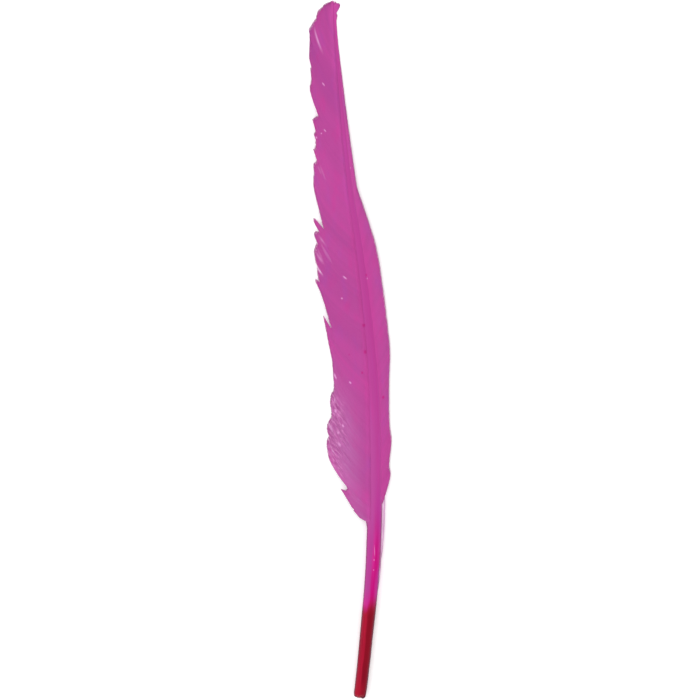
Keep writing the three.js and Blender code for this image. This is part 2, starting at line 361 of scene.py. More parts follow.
def barb_tree():
    """Geometry Nodes that grow one closed barb from each root point. A root carries the
    barb's curve, its half width at both ends and the opening beside it."""
    tree, graph, given = new_group("grow_barbs", "GeometryNodeTree", {
        "Roots": "Geometry", "Segments": "Int", "Sides": "Int",
        "Height at root": "Float", "Height at tip": "Float", "Tilt": "Float",
        "Tip width": "Float", "Tip sharpness": "Float", "Waviness": "Float",
        "Seed": "Float", "Material": "Material",
    }, {"Barbs": "Geometry"})
    plus, times, mix = graph.plus, graph.times, graph.mix

    def stored(geometry, name, value, data_type="FLOAT", domain="POINT"):
        inputs = {"Geometry": geometry, "Name": name, "Value": value}
        settings = {"data_type": data_type, "domain": domain}
        return graph.out("GeometryNodeStoreNamedAttribute", inputs, **settings)

    def named(name, data_type="FLOAT"):
        return graph.out("GeometryNodeInputNamedAttribute", {"Name": name}, data_type=data_type)

    # One barb to copy: a closed six-sided rod along Z, from 0 to 1.
    rod = graph.node("GeometryNodeMeshCylinder", {
        "Vertices": given["Sides"], "Side Segments": given["Segments"],
        "Radius": 1.0, "Depth": 1.0,
    }, fill_type="NGON")
    place = graph.separate(graph.out("GeometryNodeInputPosition"))
    shape = stored(rod.outputs["Mesh"], "along", plus(place[2], 0.5))
    shape = stored(shape, "across", place[0])
    shape = stored(shape, "above", place[1])
    shape = stored(shape, "rod_map", rod.outputs["UV Map"], "FLOAT2", "CORNER")
    inputs = {"Points": given["Roots"], "Instance": shape}
    copies = graph.out("GeometryNodeInstanceOnPoints", inputs)
    barbs = graph.out("GeometryNodeRealizeInstances", {"Geometry": copies})

    # The barb's curve, by halving between its four points, and its course.
    along = named("along")
    curve = [named(name, "FLOAT_VECTOR") for name in ("start", "leave", "arrive", "tip")]
    while len(curve) > 2:
        curve = [mix(along, a, b, "VECTOR") for a, b in zip(curve, curve[1:])]
    middle = mix(along, curve[0], curve[1], "VECTOR")
    course = graph.vector("NORMALIZE", graph.vector("SUBTRACT", curve[1], curve[0]))

    # Its cross-section: a narrow raised rib with a thin wing on each side.
    halves = [named(name, "FLOAT_VECTOR") for name in ("half_at_root", "half_at_tip")]
    half = mix(along, halves[0], halves[1], "VECTOR")
    up = graph.vector("NORMALIZE", graph.vector("CROSS_PRODUCT", course, half))
    across = named("across")
    wing = graph.math("POWER", graph.math("ABSOLUTE", across), WING_THINNING)
    wing = times(graph.math("SIGN", across), wing)
    worn = graph.math("POWER", along, given["Tip sharpness"])
    width = mix(worn, 1.0, given["Tip width"], "FLOAT")
    height = mix(along, given["Height at root"], given["Height at tip"], "FLOAT")
    rise = times(named("above"), height, width)
    rise = plus(rise, times(across, given["Tilt"]))

    # The opening beside it, and a little waviness of its own towards the tip.
    slit = graph.separate(named("slit", "FLOAT_VECTOR"))
    away = graph.math("DIVIDE", graph.minus(along, slit[0]), slit[1])
    opening = graph.step(graph.math("ABSOLUTE", away), 1.0, 0.0)
    aside = graph.scaled(graph.vector("NORMALIZE", half), times(opening, slit[2]))
    # How much painted light shows through beside each opening.
    barbs = stored(barbs, "gap", times(opening, named("light_through")))
    waves, own = times(along, WAVES_ALONG), times(named("barb"), FAR_APART)
    inputs = {"Vector": graph.combine(waves, own, given["Seed"]), "Scale": 1.0, "Detail": 1.0}
    wander = graph.node("ShaderNodeTexNoise", inputs).outputs["Color"]
    wander = graph.vector("SUBTRACT", wander, (0.5, 0.5, 0.5))
    loose = times(along, along, times(named("fray"), given["Waviness"]))

    point = graph.vector("ADD", middle, graph.scaled(half, times(wing, width)))
    for move in (graph.scaled(up, rise), aside, graph.scaled(wander, loose)):
        point = graph.vector("ADD", point, move)
    barbs = graph.out("GeometryNodeSetPosition", {"Geometry": barbs, "Position": point})

    # Each barb has a row of its own in the map that surfaces are baked through, with its
    # sides in the middle of the row and its two closed ends outside them. On the rod's own
    # map, the sides are above the half and the ends below it.
    rod_map = graph.separate(named("rod_map", "FLOAT_VECTOR"))
    past_end = graph.math("MAXIMUM", graph.minus(0.5, rod_map[1]), 0.0)
    outward = graph.minus(times(along, 2.0), 1.0)
    map_x = plus(times(along, 1 - 2 * END_SHARE), END_SHARE)
    map_x = plus(map_x, times(past_end, outward, 2 * END_SHARE))
    map_y = plus(named("barb"), times(rod_map[0], named("map_row")))
    barbs = stored(barbs, "OFBake", graph.combine(map_x, map_y, 0.0), "FLOAT2", "CORNER")

    # The closed ends stay flat, so that they don't tilt the shading of the sides.
    from_ends = times(along, graph.minus(1.0, along))
    inputs = {"Geometry": barbs, "Shade Smooth": graph.math("GREATER_THAN", from_ends, 0.001)}
    barbs = graph.out("GeometryNodeSetShadeSmooth", inputs)
    barbs = graph.out("GeometryNodeRealizeInstances", {"Geometry": barbs})
    inputs = {"Geometry": barbs, "Material": given["Material"]}
    barbs = graph.out("GeometryNodeSetMaterial", inputs)
    graph.node("NodeGroupOutput", {"Barbs": barbs})
    return tree


def new_object(name, data):
    thing = bpy.data.objects.new(name, data)
    bpy.context.scene.collection.objects.link(thing)
    return thing


def new_mesh(name, points, faces=()):
    """A smooth mesh object from its points and faces."""
    mesh = bpy.data.meshes.new(name)
    mesh.from_pydata(np.asarray(points, float).tolist(), [], faces, shade_flat=False)
    mesh.update()
    return new_object(name, mesh)


def set_attribute(mesh, name, values):
    """Stores one number or vector for each vertex."""
    values = np.asarray(values, np.float32)
    kind, key = ("FLOAT", "value") if values.ndim == 1 else ("FLOAT_VECTOR", "vector")
    attribute = mesh.attributes.new(name, kind, "POINT")
    attribute.data.foreach_set(key, values.ravel())


# What stays on the grown barbs, for their finish and its map.
BARB_KEEP = ("position", "along", "breadth", "tone", "pale", "fuzz", "narrow", "gap", "OFBake")


def grown(name, tree, roots, inputs):
    """The barbs that a tree grows from these roots, as a plain mesh object."""
    source = new_mesh(name + "_roots", roots["start"])
    for key, values in roots.items():
        set_attribute(source.data, key, values)
    modifier = source.modifiers.new("grow", "NODES")
    modifier.node_group = tree
    for item in tree.interface.items_tree:
        if item.in_out == "INPUT" and item.name in inputs:
            modifier[item.identifier] = inputs[item.name]
    depsgraph = bpy.context.evaluated_depsgraph_get()
    mesh = bpy.data.meshes.new_from_object(source.evaluated_get(depsgraph), depsgraph=depsgraph)
    mesh.name = name
    thing = new_object(name, mesh)
    source.modifiers.remove(modifier)
    bpy.data.objects.remove(source)
    for spare in [a.name for a in mesh.attributes if a.name not in BARB_KEEP and not a.is_required]:
        if not spare.startswith(".") and spare not in ("material_index", "sharp_face"):
            mesh.attributes.remove(mesh.attributes[spare])
    give(thing, inputs["Material"])
    return thing


# The barbs are BARB_SPACING mm from their neighbours, square to them, at this share of
# their length, and at the shaft no more than ROOT_SPACING.
BARB_SPACING = 0.24
SPACED_AT = 0.75
ROOT_SPACING = 0.45
OVERLAP = 1.25  # how much wider a barb with its barbules is than the spacing
ROOT_OVERLAP = 1.2  # and how much wider again at its root
WIDEST_ROOT = 0.4  # the largest half widths of a barb, in mm
WIDEST_TIP = 0.3
EDGE_REACH = 0.2  # how far the barbs' ends pass the measured edge, in mm

# How far the ends are cut back at random, as shares of a barb's length: by its place in
# its lock, by itself, and by its looseness.
LOCK_TOOTH = 0.016
END_SCATTER = 0.006
LOOSE_SCATTER = 0.012

# How far the ends stand up, in mm: the least and most of a lock, and the most of a loose
# barb. The barb's curve before its end takes a share of the lift.
LOCK_LIFT = (-0.02, 0.14)
LOOSE_LIFT = 0.25
LIFT_BEFORE_END = 0.4

# A slit moves the barbs below and above it aside by a share of its half width, less and
# less over a distance in mm.
SLIT_BARBS_BELOW = 8
SLIT_BARBS_ABOVE = 10
SLIT_PUSH = 0.3
SLIT_FADE = 0.8

SEARCH_STEPS = 120  # for the place on a vane that is nearest to a point


def barb_roots(vane):
    """The y of each barb's root, closer together where the barbs fan out."""
    fine = np.linspace(vane.first_root, vane.last_root, 4000)
    spread = np.linalg.norm(vane.next_barb(fine, SPACED_AT), axis=1)
    per_mm = np.maximum(spread / BARB_SPACING, 1 / ROOT_SPACING)
    total = np.concatenate([[0], np.cumsum((per_mm[1:] + per_mm[:-1]) / 2 * np.diff(fine))])
    return np.interp(np.arange(0, total[-1]), total, fine)


def wandering(rng, count, reach):
    """Smooth noise along the barbs, about 0 with spread 1, with waves reach barbs long."""
    window = np.hanning(max(int(reach), 3) + 2)
    rough = np.convolve(rng.normal(size=count + len(window)), window, "same")[:count]
    return (rough - rough.mean()) / rough.std()


def clumps(rng, count, least, most):
    """Which lock each barb belongs to, its place in the lock from -1 to 1, and how many
    barbs the lock has."""
    lock, place, size = np.zeros(count, int), np.zeros(count), np.zeros(count)
    at, number = 0, 0
    while at < count:
        barbs = int(rng.integers(least, most + 1))
        members = slice(at, min(at + barbs, count))
        shown = members.stop - at
        lock[members], size[members] = number, shown
        place[members] = np.linspace(-1, 1, shown) if shown > 1 else 0
        at, number = at + barbs, number + 1
    return lock, place, size


def slit_moves(vane, slits, root, start, reach, lengths):
    """For each barb, the middle, half length and width of the opening beside it, and how
    pale its side is there with painted light that shows through."""
    count = len(root)
    slit, light_through = np.tile([0.0, 1.0, 0.0], (count, 1)), np.zeros(count)
    shares = np.linspace(0.05, 0.98, SEARCH_STEPS)
    for x, y, long, half, pallor in slits:
        grid = vane.point(root[:, None], start[:, None] + shares * reach)
        far = np.hypot(grid[..., 0] - x, grid[..., 1] - y)
        barb, share = np.unravel_index(far.argmin(), far.shape)
        first, last = max(barb - SLIT_BARBS_BELOW, 0), min(barb + SLIT_BARBS_ABOVE, count)
        for i in range(first, last):
            away = (i - barb - 0.5) * BARB_SPACING
            push = math.copysign(SLIT_PUSH * half * math.exp(-abs(away) / SLIT_FADE), away)
            push = push * vane.side
            if abs(push) > abs(slit[i, 2]) / MM:
                slit[i] = [shares[share], max(long / 2 / lengths[i], 0.03), push * MM]
                light_through[i] = pallor * math.exp(-(away / max(half, 2 * BARB_SPACING)) ** 2)
    return slit, light_through


def vane_roots(vane, slits, seed, lock_barbs, closeness, fuzz, paleness, painted_lift):
    """Everything the barb tree reads for one vane. fuzz is how loose each barb is, from 0
    to 1, as a function of its tip's y, and paleness how pale it is, by its root. The last
    argument is added to the tone of them all. On the narrow vane both are painted light,
    which lifts a vane that slopes away from the lamp; on the wide vane the paleness is
    the dye it took less of towards the quill."""
    rng = np.random.default_rng(seed)
    root = barb_roots(vane)
    count = len(root)
    start, end = vane.start(root), vane.end(root)
    loose = fuzz(vane.tip_y(root))
    lock, place, size = clumps(rng, count, *lock_barbs)
    locks = lock.max() + 1
    tooth = rng.uniform(0, LOCK_TOOTH, locks)[lock] * ease(place, 0, 1)
    length = np.linalg.norm(vane.point(root, 1.0) - vane.point(root, 0.0), axis=1)
    end = end - tooth - rng.uniform(0, END_SCATTER, count)
    end = end - loose * rng.uniform(0, LOOSE_SCATTER, count) + EDGE_REACH / length
    half_spacing = vane.side * np.gradient(root)[:, None] * OVERLAP / 2
    reach = (end - start)[:, None]
    first, last = vane.point(root, start), vane.point(root, end)
    leave = first + vane.tangent(root, start + 0.01) * reach / 3
    arrive = last - vane.tangent(root, end) * reach / 3
    half_root = shortened(vane.next_barb(root, start) * half_spacing * ROOT_OVERLAP, WIDEST_ROOT)
    half_tip = shortened(vane.next_barb(root, end) * half_spacing, WIDEST_TIP)

    pull = closeness * (1 - 0.6 * loose) * rng.uniform(0.3, 1.7, locks)[lock]
    inward = -place * size / 2 * pull
    last = last + half_tip * (2 / OVERLAP) * inward[:, None]
    lift = rng.uniform(*LOCK_LIFT, locks)[lock] + loose * rng.uniform(0, LOOSE_LIFT, count)
    last[:, 2] += np.maximum(lift, 0)
    arrive[:, 2] += np.maximum(lift, 0) * LIFT_BEFORE_END
    half_tip = half_tip * (1 + loose * rng.uniform(0.2, 1, count))[:, None]
    lengths = np.linalg.norm(last - first, axis=1)
    slit, light_through = slit_moves(vane, slits, root, start, reach, lengths)

    tone = 0.5 + 0.1 * wandering(rng, count, 60) + 0.08 * wandering(rng, count, 9)
    tone = tone + rng.normal(0, 0.05, count) + rng.normal(0, 0.06, locks)[lock]
    return {
        "start": to_frame(first),
        "leave": to_frame(leave),
        "arrive": to_frame(arrive),
        "tip": to_frame(last),
        "half_at_root": half_root * MM,
        "half_at_tip": half_tip * MM,
        "slit": slit,
        "light_through": light_through,
        "breadth": np.abs(last[:, 0] - first[:, 0]),
        "tone": np.clip(tone + painted_lift, 0, 1),
        "pale": paleness(root) * rng.uniform(0.55, 1, count),
        "fuzz": loose * rng.uniform(0.6, 1, count),
        "narrow": np.full(count, float(vane.side > 0)),
        "fray": (0.12 + 0.6 * loose) * MM,
        "barb": np.arange(count) / count,
        "map_row": np.full(count, 0.9 / count),
    }


def shortened(vectors, longest):
    """The same vectors, none longer than this."""
    length = np.linalg.norm(vectors, axis=1, keepdims=True)
    return vectors * np.minimum(1, longest / np.maximum(length, 1e-9))


def trailing_fuzz(tip_y):
    """The lower left edge has come loose between these heights."""
    return ease(tip_y, -58, -40) * (1 - ease(tip_y, -22, -8))


def none(y):
    return np.zeros_like(y)


def lower_paleness(root):
    """Towards the quill the barbs have taken less dye."""
    return 0.75 * (1 - ease(root, -60, -15)) * (0.5 + 0.5 * ease(root, -74, -64))


# Painted light: an even slight paleness over the narrow vane, which slopes away from the lamp.
def even_painted_paleness(root):
    return np.full_like(root, 0.03)


SHAFT_STATIONS = 460
SHAFT_SIDES = 48
QUILL_CORNERS = 2.0  # how square the section is: 2 is an ellipse
SHAFT_CORNERS = 2.5
RIDGE_DEPTH = 0.0035  # of the lengthwise ridges, as a share of the radius
SWELLING = 0.006  # of the slow rings along the quill, in the same way
CHIP_DEPTH = 0.28  # of the cut end, in mm
GROOVE_SPREAD = 24  # degrees each way from the middle of the underside

# The cut end, from the bottom of the small pit out to the full round: radius as a share of
# the quill's, and distance in from the end. Then the closed tip: the same, but outwards.
CUT_END = [
    [0.0, 1.8], [0.12, 1.75], [0.2, 1.5], [0.25, 0.8], [0.29, 0.25], [0.38, 0.06],
    [0.55, 0.0], [0.72, 0.12], [0.86, 0.45], [0.95, 1.0], [0.99, 1.6], [1.0, 2.3],
]
CLOSED_TIP = [[0.95, 0], [0.8, 0.5], [0.5, 0.8], [0.0, 0.8]]


def quads(*corners):
    """Four-sided faces from four grids of their corners."""
    return np.stack(corners, axis=-1).reshape(-1, 4).tolist()


def shaft_rings():
    """The share of the full radius, and the y, of each ring from the pit to the tip."""
    start, end = SHAFT[0, 0], SHAFT[-1, 0]
    ys = np.linspace(start + CUT_END[-1][1], end - 0.3, SHAFT_STATIONS)[1:]
    rings = [(share, start + inward) for share, inward in CUT_END] + [(1.0, y) for y in ys]
    rings += [(share, end + outward) for share, outward in CLOSED_TIP]
    return np.array(rings).T


def shaft_piece(material):
    """The quill and shaft as one closed surface, with the pit in its cut end."""
    share, y = shaft_rings()
    start = SHAFT[0, 0]
    turn = np.arange(SHAFT_SIDES) / SHAFT_SIDES
    angle = (turn - 0.25) * 2 * math.pi
    cosine, sine = np.cos(angle), np.sin(angle)
    power = 2 / (QUILL_CORNERS + (SHAFT_CORNERS - QUILL_CORNERS) * ease(y, -80, -30))
    wide = np.sign(cosine) * np.abs(cosine) ** power[:, None]
    high = np.sign(sine) * np.abs(sine) ** power[:, None]
    rng = np.random.default_rng(3)
    ridges = sum(
        rng.uniform(0.2, 1) * np.cos(waves * angle + phase + 0.9 * np.sin(y / 40 + waves)[:, None])
        for waves, phase in zip((7, 11, 17, 23), rng.uniform(0, 6, 4))
    )
    chipped = sum(
        rng.uniform(0.3, 1) * np.cos(waves * (math.pi - angle) + phase)
        for waves, phase in zip((2, 3, 5, 9, 14), rng.uniform(0, 6, 5))
    )
    near_end = (1 - ease(y, start + 2, start + 4))[:, None] * ease(share, 0.25, 0.5)[:, None]
    end_y = y[:, None] + CHIP_DEPTH * (chipped - chipped.min()) * near_end
    swell = share[:, None] * (1 + RIDGE_DEPTH * ridges)
    swell = swell * (1 + SWELLING * np.sin(y / 3.1 + 2 * np.sin(y / 11)))[:, None]
    half_width = shaft_half_width(y) + SHAFT_PROUD
    middle = shaft_x(y) - SHAFT_PROUD * (1 - ease(y, -125, -105))
    x = middle[:, None] + wide * swell * half_width[:, None]
    low = np.maximum(high * swell, -FLAT_UNDERSIDE)
    z = shaft_centre_height(y)[:, None] + low * shaft_half_height(y)[:, None]
    from_bottom = np.minimum(turn, 1 - turn) * 360
    z = z + (shaft_groove(y) * share)[:, None] * np.exp(-(from_bottom / GROOVE_SPREAD) ** 2)

    # The first and the last ring are single points, so only one corner of each is kept.
    count = len(y)
    grid = np.arange(count * SHAFT_SIDES).reshape(count, SHAFT_SIDES)
    right = np.roll(grid, -1, axis=1)
    first_pole, last_pole = SHAFT_SIDES - 1, (count - 1) * SHAFT_SIDES
    kept = slice(first_pole, last_pole + 1)
    faces = quads(grid[1:-2], grid[2:-1], right[2:-1], right[1:-2])
    faces += [[first_pole, grid[1, i], right[1, i]] for i in range(SHAFT_SIDES)]
    faces += [[right[-2, i], grid[-2, i], last_pole] for i in range(SHAFT_SIDES)]
    faces = [[index - first_pole for index in face] for face in faces]
    points = np.stack([x, end_y, z], axis=-1).reshape(-1, 3)[kept]
    shaft = new_mesh("shaft", to_frame(points), faces)

    rightness = np.broadcast_to(cosine, x.shape).ravel()[kept]
    upness = np.broadcast_to(sine, x.shape).ravel()[kept]
    grain = np.stack([rightness * 3, points[:, 1] / 14, upness * 3], axis=-1)
    set_attribute(shaft.data, "rightness", rightness)
    set_attribute(shaft.data, "grain", grain)
    turn_of = np.broadcast_to(turn, x.shape).ravel()[kept]
    length_of = np.repeat(np.arange(count) / (count - 1), SHAFT_SIDES)[kept]
    map_shaft(shaft.data, turn_of, length_of)
    give(shaft, material)
    return shaft


def map_shaft(mesh, turn_of, length_of):
    """The map that the finish is baked through: once round the shaft, and along it."""
    layer = mesh.uv_layers.new(name="OFBake")
    loops = np.empty(len(mesh.loops), int)
    mesh.loops.foreach_get("vertex_index", loops)
    u, v = turn_of[loops], length_of[loops]
    for polygon in mesh.polygons:
        corners = slice(polygon.loop_start, polygon.loop_start + polygon.loop_total)
        own = u[corners]
        on_ring = (v[corners] > 0) & (v[corners] < 1)
        own[on_ring & (own == 0)] = 1.0 if own[on_ring].max() > 0.5 else 0.0
        own[~on_ring] = own[on_ring].mean()
    layer.uv.foreach_set("vector", np.stack([u, v], axis=-1).astype(np.float32).ravel())


# A pale band along the quill's right flank, a thin sheet standing for the painted
# reflection of the white surround on the glossy quill: y, x of its outer edge.
REFLECTION_BAND_EDGE = np.array([
    [-108, 11.8], [-104, 12.5], [-98, 13.3], [-92, 13.7], [-88, 14.3], [-79.4, 15],
    [-72, 15.3], [-66.4, 15.4], [-63, 15.1], [-60.5, 14.4], [-58.5, 13.7],
])
REFLECTION_BAND_THICKNESS = 0.14
REFLECTION_BAND_ROWS = 110
REFLECTION_BAND_COLUMNS = 13


def around(grid):
    """The outermost corners of a grid, in order."""
    return np.concatenate([grid[0], grid[1:, -1], grid[-1, -2::-1], grid[-2:0:-1, 0]])


def reflection_band_piece(material):
    """A thin curled strip that hugs the right side of the quill, a pale sheet standing for
    the painted reflection on its flank.
    """
    outer_x = smooth(REFLECTION_BAND_EDGE, 1)
    ys = np.linspace(REFLECTION_BAND_EDGE[0, 0], REFLECTION_BAND_EDGE[-1, 0], REFLECTION_BAND_ROWS)
    y, share = np.meshgrid(ys, np.linspace(0, 1, REFLECTION_BAND_COLUMNS), indexing="ij")
    inner = shaft_x(y) + 0.9 * shaft_half_width(y)
    x = inner + (outer_x(y) - inner) * share
    middle = shaft_centre_height(y) - 0.2 * shaft_half_height(y)
    ripple = 0.12 * np.sin(y / 2.3 + 3 * share) * share + 0.08 * np.sin(y / 0.9) * share ** 2
    z = middle - 0.55 * share + 0.5 * share ** 2 + ripple
    half = REFLECTION_BAND_THICKNESS / 2 * (1 - 0.5 * share)
    sides = [np.stack([x, y, z + up * half], axis=-1).reshape(-1, 3) for up in (1, -1)]
    over = np.arange(x.size).reshape(x.shape)
    under = over + x.size
    faces = quads(over[:-1, :-1], over[:-1, 1:], over[1:, 1:], over[1:, :-1])
    faces += quads(under[:-1, :-1], under[1:, :-1], under[1:, 1:], under[:-1, 1:])
    rim, below = around(over), around(under)
    faces += quads(below, np.roll(below, -1), np.roll(rim, -1), rim)
    reflection_band = new_mesh("reflection_band", to_frame(np.concatenate(sides)), faces)
    set_attribute(reflection_band.data, "outward", np.tile(share.ravel(), 2))
    give(reflection_band, material)
    return reflection_band


# Dyes, as read off the object, and among them painted light and shade.
DYE = srgb(184, 69, 151)
DYE_PINK = srgb(193, 61, 148)
DYE_PURPLE = srgb(177, 71, 160)
DYE_BAND = srgb(186, 61, 145)
PALE_DYE_AND_LIGHT = srgb(182, 110, 171)
DYE_FUZZ = srgb(200, 110, 175)
DYE_FUZZ_LIGHT = srgb(226, 146, 206)
DYE_FUZZ_DARK = srgb(178, 66, 146)
EDGE_SHADE = srgb(158, 62, 130)
# Pale of wear, also used for painted light through openings and for painted glints.
PALE_WEAR_AND_LIGHT = srgb(238, 170, 226)
SHAFT_DYE = srgb(176, 66, 142)
SHAFT_HIGHLIGHT = srgb(178, 73, 148)
SHAFT_SHADE = srgb(178, 61, 141)
QUILL_LEFT = srgb(173, 60, 140)
QUILL_RIGHT = srgb(172, 50, 150)
QUILL_HOT = srgb(189, 17, 118)
QUILL_PINK = srgb(194, 42, 136)
QUILL_HIGHLIGHT = srgb(208, 46, 146)
RED_LEFT = srgb(168, 26, 52)
RED_SHADED_RIGHT = srgb(132, 17, 35)
RED_DARK = srgb(105, 14, 36)
RED_SIDE_SHADE = srgb(88, 12, 40)
SIDE_SHADE = srgb(100, 10, 70)
CUT_DARK = srgb(70, 12, 34)
REFLECTION_PALE = srgb(245, 210, 236)
REFLECTION_MAUVE = srgb(214, 160, 204)
REFLECTION_ROOT = srgb(206, 90, 172)
RED_CUT_HIGHLIGHT = srgb(164, 24, 46)
SPECK = srgb(190, 18, 122)


def new_material(name, settings):
    material = bpy.data.materials.new(name)
    material.use_nodes = True
    shader = material.node_tree.nodes["Principled BSDF"]
    for setting, value in settings.items():
        shader.inputs[setting].default_value = value
    return material, Graph(material.node_tree), shader


def finish(graph, shader, colour, relief, roughness, strength, depth):
    """Joins a colour and a fine relief to a shader, with the roughness after the relief."""
    graph.put(colour, shader.inputs["Base Color"])
    graph.put(graph.step(relief, 0.3, 0.7, *roughness), shader.inputs["Roughness"])
    inputs = {"Height": relief, "Strength": strength, "Distance": depth}
    graph.put(graph.out("ShaderNodeBump", inputs), shader.inputs["Normal"])


def mottling_group():
    """Dye that has taken unevenly: a colour that drifts to two neighbours in soft patches."""
    tree, graph, given = new_group("uneven_dye", "ShaderNodeTree", {
        "Place": "Vector", "Dye": "Color", "Warmer": "Color", "Cooler": "Color",
        "Patch size": "Float", "Amount": "Float",
    }, {"Colour": "Color"})
    scale = graph.math("DIVIDE", 1, given["Patch size"])
    warm = graph.step(graph.noise(given["Place"], scale, 3), 0.5, 0.75)
    far_off = graph.vector("ADD", given["Place"], (0.7, 0.3, 0.5))
    cool = graph.step(graph.noise(far_off, scale, 3), 0.5, 0.75)
    colour = graph.mix(graph.times(warm, given["Amount"]), given["Dye"], given["Warmer"])
    colour = graph.mix(graph.times(cool, given["Amount"]), colour, given["Cooler"])
    graph.node("NodeGroupOutput", {"Colour": colour})
    return tree


def mark_group():
    """A mask of one oval mark with a soft, uneven edge. Each axis points along one way of
    the oval and is as long as one over its half length."""
    tree, graph, given = new_group("oval_mark", "ShaderNodeTree", {
        "Place": "Vector", "Centre": "Vector", "Long axis": "Vector", "Short axis": "Vector",
    }, {"Mask": "Float"})
    offset = graph.vector("SUBTRACT", given["Place"], given["Centre"])

    def squared(axis):
        share = graph.vector("DOT_PRODUCT", offset, given[axis])
        return graph.times(share, share)

    distance = graph.math("SQRT", graph.plus(squared("Long axis"), squared("Short axis")))
    uneven = graph.times(graph.noise(given["Place"], 1800), 0.6)
    mask = graph.step(graph.plus(distance, uneven), 1.35, 0.55)
    graph.node("NodeGroupOutput", {"Mask": mask})
    return tree


# Marks: x, y, half length, half width, and the angle of the length from the X axis.
DARK_SPECKS = [
    [6.0, 10.6, 1.1, 0.95, 90], [6.6, -1.0, 1.25, 0.95, 100], [5.3, -10.1, 0.8, 0.7, 90],
    [14.5, -20.9, 1, 0.8, 80], [7.1, 32.6, 0.6, 0.45, 90], [-0.4, -2.2, 0.45, 0.35, 90],
]
# Pale marks on the vanes, among them painted light through small splits and a painted highlight at
# the edge of the shaft.
PALE_MARKS = [
    [-11.7, 116.4, 1.3, 0.38, 127], [-11, 96, 1, 0.36, 130], [-12.6, 94.8, 0.5, 0.4, 130],
    [-14.8, 93.1, 0.7, 0.4, 120], [-2.3, 31.5, 1.4, 0.45, 141], [-3.6, 22.4, 0.6, 0.5, 130],
    [7.5, 31.1, 0.4, 0.3, 60], [0.1, 79.6, 0.4, 0.3, 110], [-6.6, -11.6, 2, 0.55, 112],
    [0.1, -14.5, 0.9, 0.5, 128], [-6.8, -22.4, 1.4, 0.45, 100], [-6.4, -26.9, 1.3, 0.6, 108],
    [-4.7, -41.6, 1.5, 0.6, 124], [-8.5, -34.2, 2.8, 0.75, 119], [-5.2, -36.6, 0.8, 0.55, 80],
    [-7.6, -44.6, 1.6, 0.4, 125], [-3.1, -33.4, 1, 0.55, 125],
]
PALE_STREAKS = [
    [-12, 77.6, 4.6, 0.5, 111], [-13.4, 78.8, 3, 0.45, 112], [-13.2, 41.6, 6, 0.6, 113],
    [-11.3, 43.4, 5.5, 0.5, 115], [-9.6, 41, 5, 0.5, 118],
]
# Painted glints of light down the middle of the quill, drawn as pale marks.
PAINTED_GLINTS = [
    [10.7, -88, 3.4, 0.2, 92], [10.5, -91.9, 0.6, 0.35, 90], [10.3, -96.3, 0.5, 0.3, 90],
]


def with_marks(graph, colour, place, mark, marks, paint, amount):
    """Paints each mark of a list over a colour."""
    for x, y, half_length, half_width, degrees in marks:
        cosine, sine = math.cos(math.radians(degrees)), math.sin(math.radians(degrees))
        long, short = half_length * MM, half_width * MM
        oval = graph.node("ShaderNodeGroup", {
            "Place": place,
            "Centre": tuple(to_frame([x, y, 0])),
            "Long axis": (cosine / long, sine / long, 0),
            "Short axis": (-sine / short, cosine / short, 0),
        }, node_tree=mark)
        colour = graph.mix(graph.times(oval.outputs["Mask"], amount), colour, paint)
    return colour


# How the loose barbs run, shortened to make long strokes, and the way across them.
LOOSE_BARBS_RUN = (-0.15, 0.2, 0.0)
LOOSE_BARBS_BESIDE = (0.8, 0.6, 0.0)


